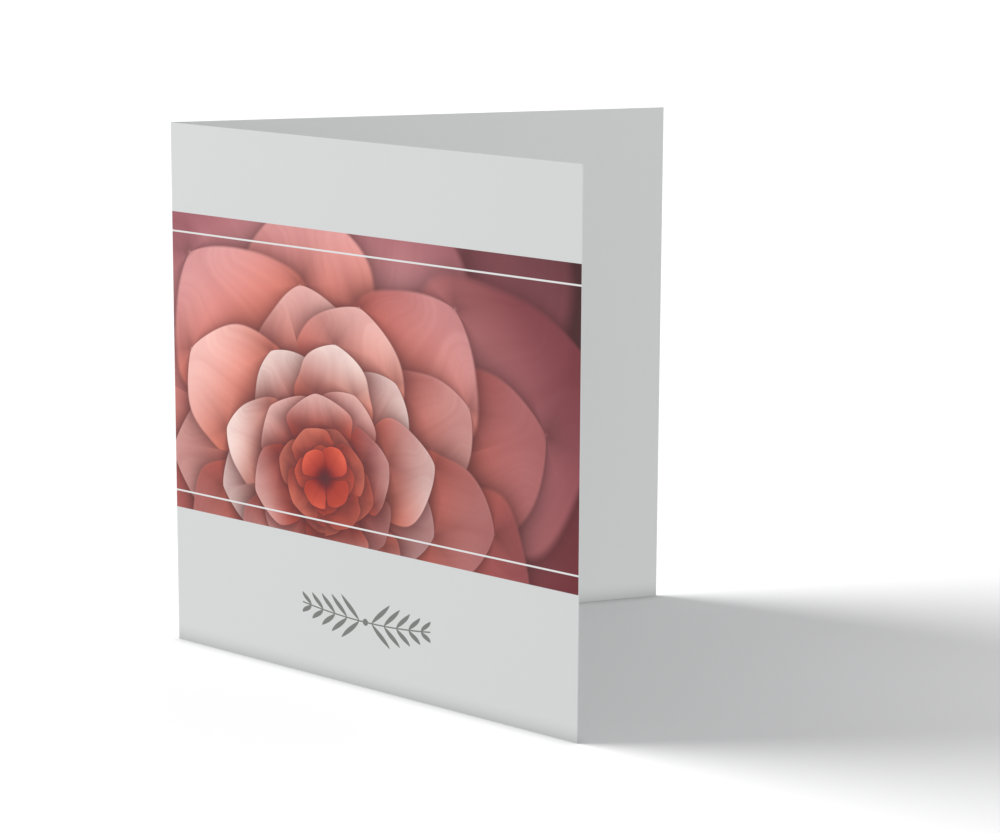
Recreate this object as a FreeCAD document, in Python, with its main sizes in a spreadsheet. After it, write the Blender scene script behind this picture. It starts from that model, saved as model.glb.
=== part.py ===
"""A square greeting card: one sheet of board, printed, scored, folded once and stood open.

The front cover faces -Y and the back cover +Y. The fold is at -X, the free edges are at +X,
and the card stands on the plane Z = 0. Lengths are in millimetres and angles in degrees.
"""

import FreeCAD
import Part
import Sketcher

import math
import os

# Driving dimensions: name, value and what it measures.
DIMENSIONS = (
    ("cover_width", 150.0, "score line to a free edge, on the flat sheet"),
    ("cover_height", 150.0, "height of both covers"),
    ("board_thickness", 0.35, "thickness of the board away from the fold"),
    ("opening_angle", 61.0, "angle between the two covers as the card stands"),
    ("fold_radius", 0.5, "outer radius of the fold"),
    ("bead_radius", 0.33, "radius of the bead that scoring raises inside the fold"),
    ("bead_blend_radius", 0.12, "blend between the bead and a cover's inner face"),
    ("picture_bottom", 39.5, "foot of the card to the foot of the picture"),
    ("picture_height", 85.5, "height of the picture, which runs the cover's full width"),
    ("rule_width", 0.5, "width of each white rule across the picture"),
    ("lower_rule_inset", 5.0, "foot of the picture to the middle of the lower rule"),
    ("upper_rule_inset", 5.5, "head of the picture to the middle of the upper rule"),
)

NODE = "folded_card"
AXIS = -1
START, END, CENTRE = 1, 2, 3

HALF_ANGLE = "(sizes.opening_angle / 2 * 1 deg)"
# The outer faces, carried on, meet at the section's origin, a little outside the round fold.
FOLD_BACK = f"(sizes.fold_radius / sin({HALF_ANGLE}) - sizes.fold_radius)"
# The board keeps its flat length at mid-thickness, where it turns through this arc on each side.
FOLD_ARC = f"((sizes.fold_radius - sizes.board_thickness / 2) * (90 deg - {HALF_ANGLE}) / 180 deg * pi)"
COVER_REACH = f"(sizes.cover_width - {FOLD_ARC} + sizes.fold_radius / tan({HALF_ANGLE}))"
FREE_EDGES = f"({COVER_REACH} * cos({HALF_ANGLE}) + sizes.board_thickness * sin({HALF_ANGLE}))"


def make_sizes(doc):
    """The spreadsheet that holds every driving dimension under its own name."""
    sheet = doc.addObject("Spreadsheet::Sheet", "sizes")
    for row, (name, value, note) in enumerate(DIMENSIONS, start=1):
        sheet.set(f"A{row}", note)
        sheet.set(f"B{row}", str(value))
        sheet.setAlias(f"B{row}", name)
    doc.recompute()
    return sheet


def origin_plane(body, role):
    """One of the body's own base planes, such as XY_Plane."""
    return next(plane for plane in body.Origin.OriginFeatures if plane.Role == role)


def section_point(x, y):
    """A point in the plane of the section."""
    return FreeCAD.Vector(x, y, 0)


def section_arc(centre, radius, first, last):
    """An arc in the plane of the section, anticlockwise between two angles in radians."""
    circle = Part.Circle(centre, FreeCAD.Vector(0, 0, 1), radius)
    return Part.ArcOfCircle(circle, first, last)


class FoldedSection:
    """The card's section: two covers, the round fold outside and the scored bead inside it.

    It is mirrored about the X axis, with the front cover on the -Y side. Each part is drawn
    about where it belongs, and the constraints then hold it there from the spreadsheet.
    """

    def __init__(self, body, sizes):
        self.sketch = body.newObject("Sketcher::SketchObject", "folded_section")
        self.sketch.AttachmentSupport = (origin_plane(body, "XY_Plane"), [""])
        self.sketch.MapMode = "FlatFace"
        self.sizes = sizes
        self.half = math.radians(sizes.opening_angle / 2)
        self.outer = {}
        self.inner = {}
        self.draw_cover("front", -1)
        self.draw_cover("back", 1)
        self.draw_fold()
        self.draw_bead()

    def tie(self, kind, *items):
        """Adds one constraint and gives its number."""
        return self.sketch.addConstraint(Sketcher.Constraint(kind, *items))

    def drive(self, name, expression, kind, *items):
        """Adds a named constraint whose size follows the spreadsheet."""
        number = self.tie(kind, *items)
        self.sketch.renameConstraint(number, name)
        self.sketch.setExpression("Constraints." + name, expression)

    def on_cover(self, side, along, inward):
        """A point a distance along a cover's outer face and inward from it; side -1 is the front."""
        x = along * math.cos(self.half) + inward * math.sin(self.half)
        y = along * math.sin(self.half) - inward * math.cos(self.half)
        return section_point(x, side * y)

    def draw_cover(self, name, side):
        """One cover's outer face, free edge and inner face, at half the opening angle."""
        near = self.sizes.fold_radius / math.tan(self.half)
        far = self.sizes.cover_width
        board = self.sizes.board_thickness
        corners = (
            self.on_cover(side, near, 0),
            self.on_cover(side, far, 0),
            self.on_cover(side, far, board),
            self.on_cover(side, near + board, board),
        )
        outer, edge, inner = (
            self.sketch.addGeometry(Part.LineSegment(first, last))
            for first, last in zip(corners, corners[1:])
        )
        self.tie("Coincident", outer, END, edge, START)
        self.tie("Coincident", edge, END, inner, START)
        self.tie("Perpendicular", outer, edge)
        self.tie("Perpendicular", edge, inner)
        self.tie("PointOnObject", AXIS, START, outer)
        angle = HALF_ANGLE if side > 0 else "-" + HALF_ANGLE
        self.drive(name + "_angle", angle, "Angle", outer, side * self.half)
        self.drive(name + "_reach", COVER_REACH, "Distance", AXIS, START, outer, END, far)
        self.drive(name + "_board", "sizes.board_thickness", "Distance", edge, board)
        self.outer[name] = outer
        self.inner[name] = inner

    def draw_fold(self):
        """The round outside of the fold, from the back cover to the front cover."""
        radius = self.sizes.fold_radius
        centre = section_point(radius / math.sin(self.half), 0)
        turn = math.pi / 2 - self.half
        self.fold = self.sketch.addGeometry(
            section_arc(centre, radius, math.pi - turn, math.pi + turn)
        )
        self.tie("Tangent", self.fold, START, self.outer["back"], START)
        self.tie("Tangent", self.fold, END, self.outer["front"], START)
        self.drive("fold_radius", "sizes.fold_radius", "Radius", self.fold, radius)

    def draw_bead(self):
        """The half-round bead about the corner of the inner faces, blended into both of them."""
        half = self.half
        board = self.sizes.board_thickness
        radius = self.sizes.bead_radius
        blend_radius = self.sizes.bead_blend_radius
        centre = section_point(board / math.sin(half), 0)
        along = board / math.tan(half) + radius + blend_radius
        inward = board + blend_radius

        bead = self.sketch.addGeometry(section_arc(centre, radius, -half / 2, half / 2))
        front = self.sketch.addGeometry(
            section_arc(
                self.on_cover(-1, along, inward), blend_radius, math.pi - half / 2, 1.5 * math.pi - half
            )
        )
        back = self.sketch.addGeometry(
            section_arc(
                self.on_cover(1, along, inward), blend_radius, math.pi / 2 + half, math.pi + half / 2
            )
        )
        self.tie("PointOnObject", bead, CENTRE, self.inner["front"])
        self.tie("PointOnObject", bead, CENTRE, self.inner["back"])
        self.tie("Tangent", bead, START, front, START)
        self.tie("Tangent", bead, END, back, END)
        self.tie("Tangent", front, END, self.inner["front"], END)
        self.tie("Tangent", back, START, self.inner["back"], END)
        self.tie("Equal", front, back)
        self.drive("bead_radius", "sizes.bead_radius", "Radius", bead, radius)
        self.drive("bead_blend_radius", "sizes.bead_blend_radius", "Radius", front, blend_radius)

    def front_outline(self):
        """The outside of the front half, from the middle of the fold to the free edge."""
        fold = self.sketch.Geometry[self.fold]
        cover = self.sketch.Geometry[self.outer["front"]]
        bend = section_arc(fold.Center, fold.Radius, math.pi, fold.LastParameter)
        return Part.Wire([bend.toShape(), Part.LineSegment(cover.StartPoint, cover.EndPoint).toShape()])


def fold_board(doc, sizes):
    """The plain board: the folded section carried up to the height of the covers."""
    board = doc.addObject("PartDesign::Body", "board")
    section = FoldedSection(board, sizes)
    pad = board.newObject("PartDesign::Pad", "covers")
    pad.Profile = section.sketch
    pad.setExpression("Length", "sizes.cover_height")
    doc.recompute()
    return board, section


def printed_field(outline, bottom, height):
    """A strip of the front's outer surface, from the middle of the fold to the free edge."""
    strip = outline.extrude(FreeCAD.Vector(0, 0, height))
    strip.translate(FreeCAD.Vector(0, 0, bottom))
    return strip


def print_front(board, section, sizes):
    """The board's solid, with the picture and its white rules as faces of their own.

    Ink has no thickness that counts, so each field only divides the outer surface.
    """
    outline = section.front_outline()
    bottom = sizes.picture_bottom
    top = bottom + sizes.picture_height
    lower_rule = bottom + sizes.lower_rule_inset - sizes.rule_width / 2
    upper_rule = top - sizes.upper_rule_inset - sizes.rule_width / 2
    fields = (
        printed_field(outline, bottom, sizes.picture_height),
        printed_field(outline, lower_rule, sizes.rule_width),
        printed_field(outline, upper_rule, sizes.rule_width),
    )
    _, pieces = board.Shape.generalFuse(fields)
    return pieces[0][0]


def make_card(doc, board, section, sizes):
    """The card as it stands, centred on the origin and resting on Z = 0."""
    card = doc.addObject("Part::Feature", NODE)
    card.Label = NODE
    card.Shape = print_front(board, section, sizes)
    card.Placement = FreeCAD.Placement()
    card.setExpression("Placement.Base.x", f"-({FOLD_BACK} + {FREE_EDGES}) / 2")
    doc.recompute()
    return card


def check(doc, card):
    """Stops if any object failed, or if the card isn't one sound solid."""
    for thing in doc.Objects:
        if {"Invalid", "Error"} & set(thing.State):
            raise RuntimeError(f"{thing.Name} failed: {thing.State}")
    shape = card.Shape
    if shape.isNull() or not shape.isValid() or len(shape.Solids) != 1:
        raise RuntimeError(f"{card.Label} isn't one sound solid")


def main():
    """Builds the card, checks it and writes its solid."""
    doc = FreeCAD.newDocument("greeting_card")
    sizes = make_sizes(doc)
    board, section = fold_board(doc, sizes)
    card = make_card(doc, board, section, sizes)
    check(doc, card)

    os.makedirs("parts", exist_ok=True)
    card.Shape.exportStep(f"parts/{card.Label}.step")


main()
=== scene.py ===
"""A square greeting card standing open on a white table: one sheet of printed board, folded once."""

import math

import bmesh
import bpy
import numpy as np
from mathutils import Matrix, Vector


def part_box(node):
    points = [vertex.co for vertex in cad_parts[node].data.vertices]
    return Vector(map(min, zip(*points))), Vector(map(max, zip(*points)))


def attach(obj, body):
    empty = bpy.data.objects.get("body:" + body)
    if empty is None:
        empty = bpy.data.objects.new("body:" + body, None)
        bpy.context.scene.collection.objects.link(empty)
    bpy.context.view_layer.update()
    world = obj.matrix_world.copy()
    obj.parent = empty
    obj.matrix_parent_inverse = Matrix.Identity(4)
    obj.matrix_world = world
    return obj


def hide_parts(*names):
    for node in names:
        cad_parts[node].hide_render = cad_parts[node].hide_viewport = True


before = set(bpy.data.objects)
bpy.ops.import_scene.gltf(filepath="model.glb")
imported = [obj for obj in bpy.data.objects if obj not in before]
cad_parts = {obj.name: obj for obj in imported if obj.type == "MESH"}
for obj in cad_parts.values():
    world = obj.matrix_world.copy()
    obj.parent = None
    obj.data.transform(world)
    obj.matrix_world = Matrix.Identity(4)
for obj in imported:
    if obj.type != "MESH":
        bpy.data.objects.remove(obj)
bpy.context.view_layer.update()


# The card is one sheet of smooth white board, 300 by 150 mm and 0.35 mm thick.
# It was guillotined square, scored down its middle and folded away from the bead that the
# score raised, and it stands on its lower edge with its covers 61 degrees apart.

OPENING = math.radians(61)
BOARD = 0.00035
FOLD_RADIUS = 0.0005
BEAD_RADIUS = 0.00033
BEAD_BLEND = 0.00012
COVER_STEPS = 24
FOLD_STEPS = 32
HEIGHT_STEPS = 12
SHARP_FROM = math.radians(40)

lowest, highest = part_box("folded_card")
half = OPENING / 2
# The outer faces, carried on, would meet at this corner, a little outside the round fold.
corner_x = lowest.x - FOLD_RADIUS / math.sin(half) + FOLD_RADIUS
reach = (highest.x - corner_x - BOARD * math.sin(half)) / math.cos(half)


def on_cover(along, inward, side):
    """Points of the level section: a distance along a cover's outer face, and inward from it.

    The face leaves the corner at half the opening angle; side is -1 for the front cover.
    """
    x = corner_x + along * math.cos(half) + inward * math.sin(half)
    y = along * math.sin(half) - inward * math.cos(half)
    return np.stack([x, side * y], -1)


def round_a_point(centre, radius, first, last, steps):
    """Points on a circle about a centre, at even angles from the first to the last."""
    angle = np.linspace(first, last, steps + 1)
    return centre + radius * np.stack([np.cos(angle), np.sin(angle)], -1)


def section_path(bend, bend_along, inward):
    """One face's path through the section, from the front's free edge to the back's.

    Each cover is straight past the bend. Its points crowd towards the fold as the square of
    their number, so that the round of the fold doesn't shade into the flat of the cover.
    """
    share = np.linspace(0, 1, COVER_STEPS + 1)[1:] ** 2
    along = bend_along + (reach - bend_along) * share
    return np.concatenate([on_cover(along[::-1], inward, -1), bend, on_cover(along, inward, 1)])


fold_centre = np.array([corner_x + FOLD_RADIUS / math.sin(half), 0.0])
fold_turn = math.pi / 2 - half
outer_bend = round_a_point(
    fold_centre, FOLD_RADIUS, math.pi + fold_turn, math.pi - fold_turn, FOLD_STEPS
)
outer_path = section_path(outer_bend, FOLD_RADIUS / math.tan(half), 0.0)

# The bead is round about the corner of the inner faces, and a hollow blends it into each.
bead_centre = np.array([corner_x + BOARD / math.sin(half), 0.0])
blend_reach = math.sqrt((BEAD_RADIUS + BEAD_BLEND) ** 2 - BEAD_BLEND**2)
blend_along = BOARD / math.tan(half) + blend_reach
blend_centre = on_cover(blend_along, BOARD + BEAD_BLEND, 1)
blend_angle = math.atan2(blend_centre[1], blend_centre[0] - bead_centre[0])
bead = round_a_point(bead_centre, BEAD_RADIUS, -blend_angle, blend_angle, FOLD_STEPS // 2)
back_blend = round_a_point(
    blend_centre, BEAD_BLEND, math.pi + blend_angle, math.pi / 2 + half, FOLD_STEPS // 4
)
front_blend = back_blend[::-1] * [1, -1]
inner_bend = np.concatenate([front_blend[:-1], bead, back_blend[1:]])
inner_path = section_path(inner_bend, blend_along, BOARD)


def distance_along(path):
    """The distance of each point along the path from its middle, where the fold is."""
    run = np.concatenate([[0.0], np.cumsum(np.hypot(*np.diff(path, axis=0).T))])
    return np.abs(run - run[len(run) // 2])


def carried_up(path, heights):
    """A grid of points, with the whole path in each row, at that row's height."""
    rows = np.broadcast_to(path, (len(heights), *path.shape))
    rise = np.broadcast_to(heights[:, None, None], (*rows.shape[:2], 1))
    return np.concatenate([rows, rise], -1)


heights = np.linspace(0.0, highest.z, HEIGHT_STEPS + 1)
outer_points = carried_up(outer_path, heights)
inner_points = carried_up(inner_path, heights)
outer_numbers = np.arange(len(heights) * len(outer_path)).reshape(len(heights), -1)
inner_numbers = outer_numbers + outer_numbers.size
across_outer = distance_along(outer_path)
across_inner = distance_along(inner_path)
fold_column = len(outer_path) // 2

# Where each face lies in the square that its finish is stored in. The front gets most of it.
GAP = 0.004
FRONT_TOP = 0.70
PLAIN_TOP = 0.93
EDGE_STRIP = 0.008


def place_of_plain(number):
    """One of three equal places side by side, above the front's."""
    width = (1 - 4 * GAP) / 3
    left = GAP + number * (width + GAP)
    return left, FRONT_TOP + GAP, left + width, PLAIN_TOP


def place_of_edge(number):
    """One of the thin places above those, for the cut edges of the board."""
    bottom = PLAIN_TOP + GAP + number * (EDGE_STRIP + GAP)
    return GAP, bottom, 1 - GAP, bottom + EDGE_STRIP


def stretched(values, low, high):
    """The values moved and stretched so that they run from low to high."""
    return low + (high - low) * (values - values.min()) / np.ptp(values)


def face_of_sheet(numbers, across, up, place):
    """One face as quads between neighbours in its grid of points.

    Gives each quad's point numbers, their places measured on the sheet in metres, and their
    places in the stored finish.
    """
    left, bottom, right, top = place
    across = np.broadcast_to(across, numbers.shape)
    up = np.broadcast_to(up, numbers.shape)
    cells = np.arange(numbers.size).reshape(numbers.shape)
    cells = np.stack([cells[:-1, :-1], cells[:-1, 1:], cells[1:, 1:], cells[1:, :-1]], -1)
    cells = cells.reshape(-1, 4)
    measured = np.stack([across, up], -1).reshape(-1, 2)
    stored = np.stack([stretched(across, left, right), stretched(up, bottom, top)], -1)
    return numbers.reshape(-1)[cells], measured[cells], stored.reshape(-1, 2)[cells]


front = slice(None, fold_column + 1)
back = slice(fold_column, None)
up = heights[:, None]
thick = np.array([[0.0], [BOARD]])
faces = [
    face_of_sheet(outer_numbers[:, front], across_outer[front], up, (GAP, GAP, 1 - GAP, FRONT_TOP)),
    face_of_sheet(outer_numbers[:, back], across_outer[back], up, place_of_plain(0)),
    face_of_sheet(inner_numbers[:, front], across_inner[front], up, place_of_plain(1)),
    face_of_sheet(inner_numbers[:, back], across_inner[back], up, place_of_plain(2)),
]
# The cut edges join the outer face to the inner one: foot, head and the two free edges.
cut_edges = (
    (outer_numbers[0], inner_numbers[0]),
    (outer_numbers[-1], inner_numbers[-1]),
    (outer_numbers[:, 0], inner_numbers[:, 0]),
    (outer_numbers[:, -1], inner_numbers[:, -1]),
)
for number, rows in enumerate(cut_edges):
    cut = np.stack(rows)
    faces.append(face_of_sheet(cut, np.arange(cut.shape[1]), thick, place_of_edge(number)))

corners, measured, stored = (np.concatenate(parts) for parts in zip(*faces))
points = np.concatenate([outer_points.reshape(-1, 3), inner_points.reshape(-1, 3)])
sheet_mesh = bpy.data.meshes.new("card_sheet")
sheet_mesh.from_pydata(points, [], corners)
sheet_mesh.uv_layers.new(name="sheet").data.foreach_set("uv", measured.ravel())
sheet_mesh.uv_layers.new(name="OFBake").data.foreach_set("uv", stored.ravel())
sheet_mesh.uv_layers["sheet"].active_render = True
# The front, which is the first face, has the printed finish, and the rest has the plain one.
PRINTED, PLAIN = 0, 1
finish_number = np.full(len(corners), PLAIN, dtype=np.int32)
finish_number[: len(faces[0][0])] = PRINTED
sheet_mesh.polygons.foreach_set("material_index", finish_number)
# All faces are turned to point out of the board.
shell = bmesh.new()
shell.from_mesh(sheet_mesh)
bmesh.ops.recalc_face_normals(shell, faces=shell.faces)
shell.to_mesh(sheet_mesh)
shell.free()
sheet_mesh.shade_smooth()
sheet_mesh.set_sharp_from_angle(angle=SHARP_FROM)
card_sheet = bpy.data.objects.new("card_sheet", sheet_mesh)
bpy.context.collection.objects.link(card_sheet)
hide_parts("folded_card")
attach(card_sheet, "root")


# The board is coated smooth and matt, with the faint tooth of pressed paper. Close to what
# it stands on, and wherever another surface is near, its colour is darkened by painted contact
# shade.

CONTACT_REACH = 0.005
CONTACT_SHADE = 0.38
CONTACT_SHADE_LINE = 0.8
CONTACT_MOST = 0.5
CONTACT_SAMPLES = 8
BOARD_WHITE = (0.80, 0.815, 0.805)
BOARD_ROUGHNESS = 0.6
BOARD_GLOSS = 0.3
TOOTH_SIZE = 0.00035
TOOTH_DEPTH = 0.000004
TOOTH_DETAIL = 2


def put(tree, value, socket):
    """Links a value that varies to a socket, or sets a plain one on it."""
    value = getattr(value, "socket", value)
    if isinstance(value, bpy.types.NodeSocket):
        tree.links.new(value, socket)
    else:
        socket.default_value = value


class Amount:
    """A number that varies over the surface. Arithmetic on it adds Math nodes to its tree."""

    def __init__(self, tree, socket):
        self.tree = tree
        self.socket = socket

    def math(self, operation, *others):
        """One operation of the Math node on this number and up to two others."""
        node = self.tree.nodes.new("ShaderNodeMath")
        node.operation = operation
        for value, socket in zip((self, *others), node.inputs):
            put(self.tree, value, socket)
        return Amount(self.tree, node.outputs[0])

    def __add__(self, other):
        return self.math("ADD", other)

    def __sub__(self, other):
        return self.math("SUBTRACT", other)

    def __mul__(self, other):
        return self.math("MULTIPLY", other)

    def __truediv__(self, other):
        return self.math("DIVIDE", other)

    def __pow__(self, other):
        return self.math("POWER", other)

    def __neg__(self):
        return self.math("MULTIPLY", -1)

    def __rsub__(self, other):
        return self.math("MULTIPLY_ADD", -1, other)

    __radd__ = __add__
    __rmul__ = __mul__

    def rise(self, low, high):
        """A smooth step: 0 where the number is under low, 1 where it is over high."""
        node = self.tree.nodes.new("ShaderNodeMapRange")
        node.interpolation_type = "SMOOTHSTEP"
        node.clamp = False
        for value, name in ((self, "Value"), (low, "From Min"), (high, "From Max")):
            put(self.tree, value, node.inputs[name])
        return Amount(self.tree, node.outputs["Result"])


def blended(tree, share, first, second):
    """The second colour laid over the first, by a share from 0 to 1.

    Colours are vectors, and the numbers are those of the Mix node's sockets for vectors.
    """
    node = tree.nodes.new("ShaderNodeMix")
    node.data_type = "VECTOR"
    for value, number in ((share, 0), (first, 4), (second, 5)):
        put(tree, value, node.inputs[number])
    return node.outputs[1]


def lit(tree, colour, light):
    """The colour times a number that varies."""
    node = tree.nodes.new("ShaderNodeVectorMath")
    node.operation = "SCALE"
    put(tree, colour, node.inputs[0])
    put(tree, light, node.inputs["Scale"])
    return node.outputs[0]


def tinted(tree, colour, tint):
    """The colour times another one."""
    node = tree.nodes.new("ShaderNodeVectorMath")
    node.operation = "MULTIPLY"
    put(tree, colour, node.inputs[0])
    put(tree, tint, node.inputs[1])
    return node.outputs[0]


def wave(tree, number, detail=0.0):
    """Smooth noise round 0, mostly from -0.5 to 0.5, along a line."""
    node = tree.nodes.new("ShaderNodeTexNoise")
    node.noise_dimensions = "1D"
    node.inputs["Scale"].default_value = 1
    node.inputs["Detail"].default_value = detail
    put(tree, number, node.inputs["W"])
    return Amount(tree, node.outputs["Fac"]) - 0.5


def chances(tree, number):
    """Three even chances from 0 to 1 for each whole number."""
    node = tree.nodes.new("ShaderNodeTexWhiteNoise")
    node.noise_dimensions = "1D"
    put(tree, number, node.inputs["W"])
    parts = tree.nodes.new("ShaderNodeSeparateColor")
    tree.links.new(node.outputs["Color"], parts.inputs[0])
    return [Amount(tree, socket) for socket in parts.outputs]


def shaded_by_contact(tree, colour, samples):
    """The colour darkened by painted contact shade: times 1 - shade * closed - line * closed ^ 3.

    closed is the share of directions in which something stands within the reach, up to half.
    """
    openness = tree.nodes.new("ShaderNodeAmbientOcclusion")
    openness.samples = samples
    openness.inputs["Distance"].default_value = CONTACT_REACH
    closed = (1 - Amount(tree, openness.outputs["AO"])).math("MINIMUM", CONTACT_MOST)
    return lit(tree, colour, 1 - closed * CONTACT_SHADE - closed**3 * CONTACT_SHADE_LINE)


def board_finish(name):
    """A matt board material, with the tooth of the paper in its bump."""
    material = bpy.data.materials.new(name)
    material.use_nodes = True
    tree = material.node_tree
    shader = tree.nodes["Principled BSDF"]
    shader.inputs["Roughness"].default_value = BOARD_ROUGHNESS
    shader.inputs["Specular IOR Level"].default_value = BOARD_GLOSS
    tooth = tree.nodes.new("ShaderNodeTexNoise")
    tooth.inputs["Scale"].default_value = 1 / TOOTH_SIZE
    tooth.inputs["Detail"].default_value = TOOTH_DETAIL
    tree.links.new(tree.nodes.new("ShaderNodeTexCoord").outputs["Object"], tooth.inputs["Vector"])
    bump = tree.nodes.new("ShaderNodeBump")
    bump.inputs["Distance"].default_value = TOOTH_DEPTH
    tree.links.new(tooth.outputs["Fac"], bump.inputs["Height"])
    tree.links.new(bump.outputs["Normal"], shader.inputs["Normal"])
    return material, tree, shader


plain_finish, plain_tree, plain_shader = board_finish("plain_board")
# The plain board's colour carries the painted contact shade.
plain_colour = shaded_by_contact(plain_tree, BOARD_WHITE, CONTACT_SAMPLES)
put(plain_tree, plain_colour, plain_shader.inputs["Base Color"])


# The front is printed in colour: a picture of one large flower across the cover's full width,
# with a white rule near its head and foot, and a small grey sprig on the white below it.

# The print is laid out in millimetres, from the fold along the cover and up from its foot.
PER_METRE = 1000
PICTURE_BOTTOM = 39.5
PICTURE_HEIGHT = 85.5
RULE_WIDTH = 0.5
LOWER_RULE_INSET = 5.0
UPPER_RULE_INSET = 5.5
RULE_WHITE = (0.92, 0.93, 0.92)
PRINT_EDGE = 0.04

# What a ring of petals is given: its numbers, and the colours under it and along a petal.
RING_VALUES = ("Right", "Up", "Petals", "Turn", "Seed", "Length", "Width", "Blur")
RING_COLOURS = ("Under", "Root", "Middle", "Tip")
# How much a petal differs from the next by chance, in length, direction and tone.
LENGTH_CHANGE = 0.16
LEAN_CHANGE = 0.22
TONE_CHANGE = 0.20
# These keep the chances and waves of one petal, or one ring, apart from another's.
RING_STRIDE = 17.3
EDGE_STRIDE, EDGE_RING_STRIDE = 7.3, 5.1
STREAK_STRIDE, STREAK_RING_STRIDE = 23.1, 9.3
# The outline: powers of the length and of the sine, the wave along the edge, and the tip.
PETAL_TWIST = 0.10
LENGTH_POWER = 1.6
SINE_POWER = 0.72
EDGE_WAVES = 3.2
EDGE_DEPTH = 0.30
TIP_SLOPE = 0.8
THINNEST = 0.08
# The shadow that a petal casts past its edge, with its reach in millimetres.
SHADOW_REACH = 5.0
PETAL_SHADOW = 0.68
PETAL_SHADE = (0.095, 0.020, 0.024)
# The light on a petal: where it comes from, how much the sides and the tip take of it, the
# streaks along the petal, the crease down its middle and the bright rim.
LIGHT_RIGHT, LIGHT_UP = -0.6, 0.8
SIDE_LIGHT = 0.34
SIDE_ENDS = 0.84
TIP_LIGHT = 0.50
STREAKS = 8
STREAK_LEAN = 1.6
STREAK_DETAIL = 2.0
STREAK_DEPTH = 0.16
CREASE_WIDTH = 0.22
CREASE_DEPTH = 0.08
RIM_REACH = 0.6
RIM_LIGHT = 0.16
RIM_BEGINS = (0.15, 0.5)
# Where along a petal its root's colour turns into the middle's, and that into the tip's.
ROOT_TO_MIDDLE = (0.14, 0.58)
MIDDLE_TO_TIP = (0.50, 1.0)
# A petal's colour is multiplied by the first tint where its light is low, and by the second
# where it is 1 more, so that its shaded side turns redder as well as darker.
LIGHT_LOW = 0.35
TINT_LOW = (0.54, 0.22, 0.24)
TINT_HIGH = (1.24, 1.42, 1.40)


def petal_ring():
    """A node group that lays a ring of petals over a colour, apart, so that others show between.

    Lengths are in millimetres from the flower's middle. At the part t of its length, a petal
    is as wide as sin(pi * t ^ LENGTH_POWER) ^ SINE_POWER, with a slow wave along its edge. Its
    sides and tip take the light by the way they lean, and it casts a soft shade on what lies
    under it.
    """
    tree = bpy.data.node_groups.new("petal_ring", "ShaderNodeTree")
    for name in RING_VALUES:
        tree.interface.new_socket(name, in_out="INPUT", socket_type="NodeSocketFloat")
    for name in RING_COLOURS:
        tree.interface.new_socket(name, in_out="INPUT", socket_type="NodeSocketVector")
    tree.interface.new_socket("Over", in_out="OUTPUT", socket_type="NodeSocketVector")
    given = tree.nodes.new("NodeGroupInput").outputs
    values = [Amount(tree, given[name]) for name in RING_VALUES]
    right, up, petals, turn, seed, length, width, blur = values

    # The petal that a place belongs to, and how far along and across it the place is.
    step = petals**-1 * (2 * math.pi)
    away = (right * right + up * up).math("SQRT")
    bearing = right.math("ARCTAN2", up) + away / length * PETAL_TWIST + turn
    number = (bearing / step).math("FLOOR")
    size_chance, lean_chance, tone_chance = chances(tree, number + seed * RING_STRIDE)
    axis = (number + 0.5) * step + (lean_chance - 0.5) * step * LEAN_CHANGE
    off_axis = bearing - axis
    along = away * off_axis.math("COSINE")
    along = along / (length * (1 - LENGTH_CHANGE / 2 + size_chance * LENGTH_CHANGE))
    across = away * off_axis.math("SINE") / width

    # How far inside its outline the place is, and the shadow that falls past the outline.
    within = along.math("MAXIMUM", 0).math("MINIMUM", 1)
    half = (within**LENGTH_POWER * math.pi).math("SINE").math("MAXIMUM", 0) ** SINE_POWER
    edge_wave = wave(tree, along * EDGE_WAVES + (number * EDGE_STRIDE + seed * EDGE_RING_STRIDE))
    half = half * (1 + edge_wave * EDGE_DEPTH)
    side_gap = (half - across.math("ABSOLUTE")) * width
    gap = side_gap.math("MINIMUM", (1 - along) * length * TIP_SLOPE)
    shown = gap.rise(-blur, blur)
    cast = (gap.math("MINIMUM", 0) / SHADOW_REACH).math("EXPONENT") * PETAL_SHADOW
    under = blended(tree, cast, given["Under"], PETAL_SHADE)

    # The light on the petal: its sides and tip, its streaks, its crease and its rim.
    side = (across / half.math("MAXIMUM", THINNEST)).math("MAXIMUM", -1).math("MINIMUM", 1)
    side = side * along.rise(1.0, SIDE_ENDS)
    towards = axis - turn
    side_light = towards.math("COSINE") * LIGHT_RIGHT - towards.math("SINE") * LIGHT_UP
    tip_light = towards.math("SINE") * LIGHT_RIGHT + towards.math("COSINE") * LIGHT_UP
    light = 1 - side * side_light * SIDE_LIGHT + tip_light * (along - 0.5) * TIP_LIGHT
    streak_place = side * STREAKS + along * STREAK_LEAN
    streak_place = streak_place + (number * STREAK_STRIDE + seed * STREAK_RING_STRIDE)
    streak = wave(tree, streak_place, STREAK_DETAIL)
    light = light * (1 + streak * STREAK_DEPTH) * (1 - TONE_CHANGE / 2 + tone_chance * TONE_CHANGE)
    off_crease = side.math("ABSOLUTE").rise(0.0, CREASE_WIDTH)
    light = light * (1 - CREASE_DEPTH + off_crease * CREASE_DEPTH)
    rim = (-gap.math("MAXIMUM", 0) / RIM_REACH).math("EXPONENT") * along.rise(*RIM_BEGINS)
    light = light + rim * RIM_LIGHT

    # Its colours, from the root to the tip, in that light.
    petal = blended(tree, along.rise(*ROOT_TO_MIDDLE), given["Root"], given["Middle"])
    petal = blended(tree, along.rise(*MIDDLE_TO_TIP), petal, given["Tip"])
    petal = tinted(tree, petal, blended(tree, light - LIGHT_LOW, TINT_LOW, TINT_HIGH))
    over = blended(tree, shown, under, petal)
    tree.links.new(over, tree.nodes.new("NodeGroupOutput").inputs["Over"])
    return tree


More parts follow.
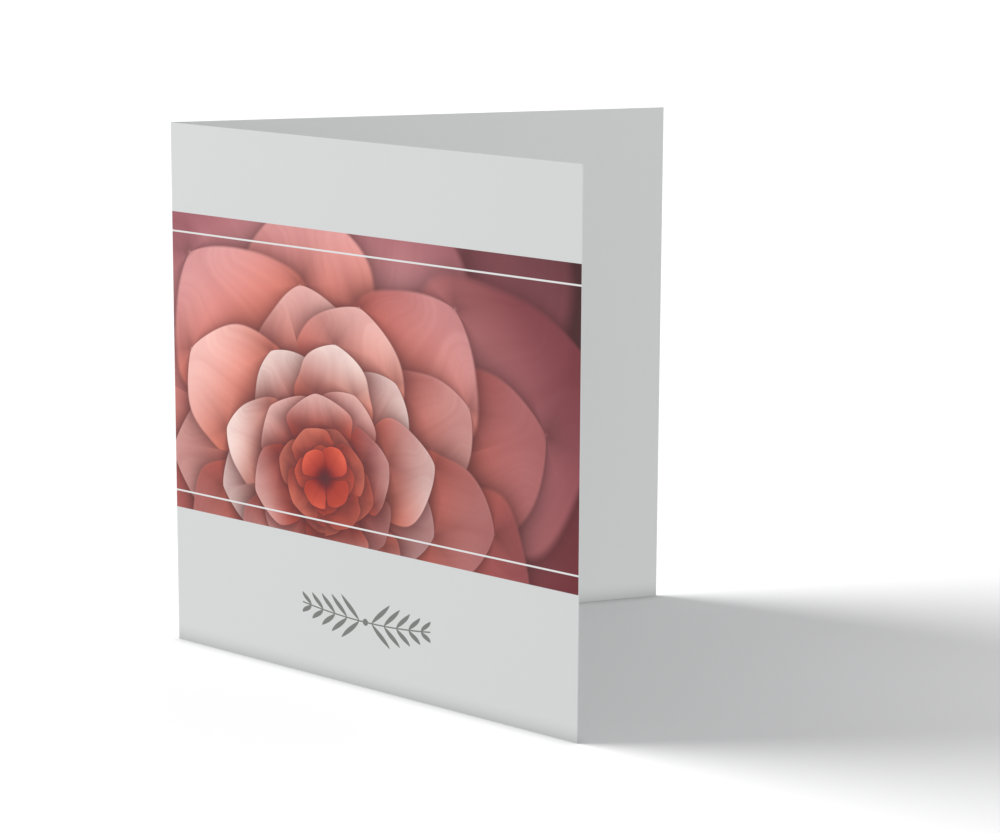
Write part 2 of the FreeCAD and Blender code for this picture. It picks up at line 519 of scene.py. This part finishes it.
def linear(*levels):
    """A colour given as screen levels from 0 to 255, as the linear values that shaders use."""
    shares = [level / 255 for level in levels]
    return tuple(((s + 0.055) / 1.055) ** 2.4 if s > 0.04045 else s / 12.92 for s in shares)


DEEP = linear(128, 30, 34)
CORAL = linear(212, 86, 66)
BUD = linear(184, 66, 52)
SALMON = linear(232, 124, 102)
PINK = linear(222, 154, 154)
BLUSH = linear(236, 178, 172)
CREAM = linear(244, 211, 206)
MAUVE = linear(168, 98, 108)
DUSK = linear(116, 72, 78)
CORNER = linear(96, 60, 62)

# For each ring, from the outermost: petals in each half of it, length, width and blur, and the
# colours of a petal's root, middle and tip.
RINGS = (
    (4, 126, 44, 3.0, DUSK, MAUVE, DUSK),
    (4, 103, 38, 2.0, DUSK, PINK, MAUVE),
    (5, 80, 27, 1.1, CORAL, SALMON, PINK),
    (5, 60, 21, 0.55, CORAL, SALMON, BLUSH),
    (5, 42, 15.5, 0.3, CORAL, SALMON, CREAM),
    (4, 28, 12.5, 0.22, DEEP, CORAL, BLUSH),
    (4, 17.5, 8.4, 0.2, DEEP, CORAL, SALMON),
    (4, 11, 5.2, 0.2, DEEP, BUD, CORAL),
)
# The flower's middle, how much flatter than round it is, and the dark heart in it.
FLOWER_RIGHT = 60
FLOWER_UP = 17
FLOWER_TILT = 1.1
HEART_RADIUS = 4.6
# Each ring is turned on from the last, and every other petal in it is shorter.
RING_TURN = 0.43
SECOND_SHORTER = 0.04
# The picture is tinted from its brightest place out to its corners.
BRIGHT_RIGHT = 52
BRIGHT_UP = 52
BRIGHT_TILT = 1.3
BRIGHT_TO_DARK = (24.0, 128.0)
BRIGHT_TINT = (1.22, 1.20, 1.18)
CORNER_TINT = (0.47, 0.21, 0.24)


def picture(tree, across, up):
    """The flower, its rings laid from the outermost to the middle, and darker to the corners."""
    right = across - FLOWER_RIGHT
    rise = (up - FLOWER_UP) * FLOWER_TILT
    group = petal_ring()
    over = CORNER
    for ring, (petals, length, width, blur, *colours) in enumerate(RINGS):
        for odd in (0, 1):
            turn = (ring * RING_TURN + odd) * math.pi / petals
            own_length = length * (1 - SECOND_SHORTER * odd)
            laid = tree.nodes.new("ShaderNodeGroup")
            laid.node_tree = group
            values = (right, rise, petals, turn, ring * 2 + odd, own_length, width, blur)
            for name, value in zip(RING_VALUES + RING_COLOURS, (*values, over, *colours)):
                put(tree, value, laid.inputs[name])
            over = laid.outputs["Over"]
    heart = (right * right + rise * rise).math("SQRT").rise(HEART_RADIUS, 0.0)
    over = blended(tree, heart, over, PETAL_SHADE)
    from_bright = (across - BRIGHT_RIGHT) ** 2 + ((up - BRIGHT_UP) * BRIGHT_TILT) ** 2
    darkness = from_bright.math("SQRT").rise(*BRIGHT_TO_DARK)
    return tinted(tree, over, blended(tree, darkness, BRIGHT_TINT, CORNER_TINT))


# The sprig: its place, how far its ends rise over its middle, its leaves, its stem and its bud.
SPRIG_MIDDLE = 75.0
SPRIG_UP = 18.6
SPRIG_REACH = 24.0
SPRIG_SAG = 1.6
LEAVES = 5
LEAF_PITCH = 4.6
LEAF_LEAN = math.radians(42)
LEAF_LENGTH = 9.2
LEAF_SHORTER = 0.13
LEAF_WIDTH = 0.72
LEAF_POWER = 0.8
STEM_WIDTH = 0.2
BUD_RADIUS = 1.0
INK = linear(134, 135, 131)


def sprig(tree, across, up):
    """How much ink lies at a place: a stem that sags from both ends, with leaves in pairs.

    A leaf leans away from the middle. At the part t of its length, it is as wide as
    sin(pi * t) ^ LEAF_POWER times its width, and the leaves shorten towards the ends.
    """
    out = (across - SPRIG_MIDDLE).math("ABSOLUTE")
    off_stem = (up - SPRIG_UP - (out / SPRIG_REACH) ** 2 * SPRIG_SAG).math("ABSOLUTE")
    foot = (out - off_stem * (1 / math.tan(LEAF_LEAN))) / LEAF_PITCH
    number = foot.math("FLOOR")
    length = LEAF_LENGTH * (1 - number * LEAF_SHORTER)
    t = off_stem / math.sin(LEAF_LEAN) / length
    off_leaf = ((foot - number - 0.5) * (LEAF_PITCH * math.sin(LEAF_LEAN))).math("ABSOLUTE")
    bulge = (t.math("MINIMUM", 1) * math.pi).math("SINE").math("MAXIMUM", 0) ** LEAF_POWER
    leaf = bulge * LEAF_WIDTH - off_leaf
    leaf = leaf.math("MINIMUM", (1 - t) * length)
    leaf = leaf.math("MINIMUM", number + 0.5).math("MINIMUM", LEAVES - 0.5 - number)
    stem = (STEM_WIDTH - off_stem).math("MINIMUM", SPRIG_REACH - out)
    bud = BUD_RADIUS - (out * out + off_stem * off_stem).math("SQRT")
    return leaf.math("MAXIMUM", stem).math("MAXIMUM", bud).rise(-PRINT_EDGE, PRINT_EDGE)


def between(number, low, high):
    """1 where the number is between low and high and 0 elsewhere, with a sharp soft edge."""
    middle = (low + high) / 2
    half_width = (high - low) / 2
    return (number - middle).math("ABSOLUTE").rise(half_width + PRINT_EDGE, half_width - PRINT_EDGE)


printed_finish, print_tree, print_shader = board_finish("printed_front")
sheet_place = print_tree.nodes.new("ShaderNodeUVMap")
sheet_place.uv_map = "sheet"
parts = print_tree.nodes.new("ShaderNodeSeparateXYZ")
print_tree.links.new(sheet_place.outputs["UV"], parts.inputs[0])
across_print = Amount(print_tree, parts.outputs["X"]) * PER_METRE
up_print = Amount(print_tree, parts.outputs["Y"]) * PER_METRE
printed = picture(print_tree, across_print, up_print - PICTURE_BOTTOM)
in_picture = between(up_print, PICTURE_BOTTOM, PICTURE_BOTTOM + PICTURE_HEIGHT)
printed = blended(print_tree, in_picture, BOARD_WHITE, printed)
lower_rule = PICTURE_BOTTOM + LOWER_RULE_INSET
upper_rule = PICTURE_BOTTOM + PICTURE_HEIGHT - UPPER_RULE_INSET
for rule in (lower_rule, upper_rule):
    on_rule = between(up_print, rule - RULE_WIDTH / 2, rule + RULE_WIDTH / 2)
    printed = blended(print_tree, on_rule, printed, RULE_WHITE)
printed = blended(print_tree, sprig(print_tree, across_print, up_print), printed, INK)
# Painted contact shade darkens the print where the cover meets the table and near the fold.
printed = shaded_by_contact(print_tree, printed, CONTACT_SAMPLES)
put(print_tree, printed, print_shader.inputs["Base Color"])

card_sheet.data.materials.append(printed_finish)
card_sheet.data.materials.append(plain_finish)


# The table is a plain matt white surface. Its bounce is kept off the card, which stands in
# even light from the room.

TABLE_SIDE = 40.0
TABLE_WHITE = 0.72
TABLE_SAMPLES = 4
far = TABLE_SIDE / 2
table_corners = [(-far, -far, 0), (far, -far, 0), (far, far, 0), (-far, far, 0)]
floor_mesh = bpy.data.meshes.new("table")
floor_mesh.from_pydata(table_corners, [], [(0, 1, 2, 3)])
floor = bpy.data.objects.new("table", floor_mesh)
bpy.context.collection.objects.link(floor)
floor_finish = bpy.data.materials.new("white_table")
floor_finish.use_nodes = True
floor_tree = floor_finish.node_tree
floor_shader = floor_tree.nodes["Principled BSDF"]
# The table's colour is darkened by painted contact shade where the card stands on it.
floor_colour = shaded_by_contact(floor_tree, (TABLE_WHITE,) * 3, TABLE_SAMPLES)
put(floor_tree, floor_colour, floor_shader.inputs["Base Color"])
floor_shader.inputs["Roughness"].default_value = 1.0
floor_shader.inputs["Specular IOR Level"].default_value = 0.0
floor_mesh.materials.append(floor_finish)
floor.visible_diffuse = False


# The room is white all round. A broad round lamp low on the left lights the table past the
# card, and a softbox a metre away on the same side lights the outsides of the covers.

ROOM_LIGHT = 0.705
ROOM_COLOUR = (1.0, 1.0, 1.014)
world = bpy.data.worlds.new("white_room")
world.use_nodes = True
world.node_tree.nodes["Background"].inputs["Color"].default_value = (*ROOM_COLOUR, 1)
world.node_tree.nodes["Background"].inputs["Strength"].default_value = ROOM_LIGHT
bpy.context.scene.world = world


def light_on(name, kind, only_on, aim, away, elevation, azimuth):
    """A light a distance away from the point it is aimed at, which lights one object only.

    It stands at two angles from that point: above the level, and round from the X axis.
    """
    data = bpy.data.lights.new(name, kind)
    light = bpy.data.objects.new(name, data)
    bpy.context.collection.objects.link(light)
    level = math.cos(elevation)
    direction = Vector((level * math.cos(azimuth), level * math.sin(azimuth), math.sin(elevation)))
    light.location = Vector(aim) + away * direction
    light.rotation_euler = direction.to_track_quat("Z", "Y").to_euler()
    lit_things = bpy.data.collections.new(name + "_lights")
    lit_things.objects.link(only_on)
    light.light_linking.receiver_collection = lit_things
    return light


LAMP_AIM = (0, 0, 0)
LAMP_AWAY = 0.65
LAMP_ELEVATION = math.radians(26.5)
LAMP_AZIMUTH = math.radians(178.4)
LAMP_SPREAD = math.radians(53)
LAMP_POWER = 110
lamp = light_on("low_lamp", "POINT", floor, LAMP_AIM, LAMP_AWAY, LAMP_ELEVATION, LAMP_AZIMUTH)
lamp.data.shadow_soft_size = LAMP_AWAY * math.tan(LAMP_SPREAD / 2)
lamp.data.energy = LAMP_POWER
# The lamp's strength goes up with the cube of the distance. That makes up for the square law
# and for the low angle at which it strikes the far table, so that the table is evenly white.
lamp.data.use_nodes = True
lamp_tree = lamp.data.node_tree
lamp_reach = lamp_tree.nodes.new("ShaderNodeLightFalloff")
lamp_reach.inputs["Strength"].default_value = 1.0
as_distance = Amount(lamp_tree, lamp_reach.outputs["Linear"])
as_its_square = Amount(lamp_tree, lamp_reach.outputs["Constant"])
put(lamp_tree, as_distance * as_its_square, lamp_tree.nodes["Emission"].inputs["Strength"])

SOFTBOX_AIM = (-0.065, 0, 0.075)
SOFTBOX_AWAY = 1.0
SOFTBOX_ELEVATION = math.radians(23)
SOFTBOX_AZIMUTH = math.radians(178.2)
SOFTBOX_SPREAD = math.radians(48)
SOFTBOX_POWER = 3.8
SOFTBOX_COLOUR = (1.0, 0.993, 0.975)
softbox = light_on(
    "softbox", "AREA", card_sheet, SOFTBOX_AIM, SOFTBOX_AWAY, SOFTBOX_ELEVATION, SOFTBOX_AZIMUTH
)
softbox.data.shape = "DISK"
softbox.data.size = 2 * SOFTBOX_AWAY * math.tan(SOFTBOX_SPREAD / 2)
softbox.data.energy = SOFTBOX_POWER
softbox.data.color = SOFTBOX_COLOUR

bpy.context.scene.view_settings.view_transform = "Standard"


# The camera stands in front, a little to the right and above, far enough for long-lens lines.
# Its place and its lens are a best fit to the card's corners.

CAMERA_PLACE = (0.1790, -0.80466, 0.23407)
TURN = math.radians(10.508)
PITCH = math.radians(11.359)
ROLL = math.radians(0.289)
LENS = 107.19
FILM_WIDTH = 36.0
camera_data = bpy.data.cameras.new("camera")
camera_data.lens = LENS
camera_data.sensor_width = FILM_WIDTH
camera = bpy.data.objects.new("camera", camera_data)
bpy.context.collection.objects.link(camera)
camera.matrix_world = (
    Matrix.Translation(CAMERA_PLACE)
    @ Matrix.Rotation(TURN, 4, "Z")
    @ Matrix.Rotation(math.pi / 2 - PITCH, 4, "X")
    @ Matrix.Rotation(ROLL, 4, "Z")
)
bpy.context.scene.camera = camera
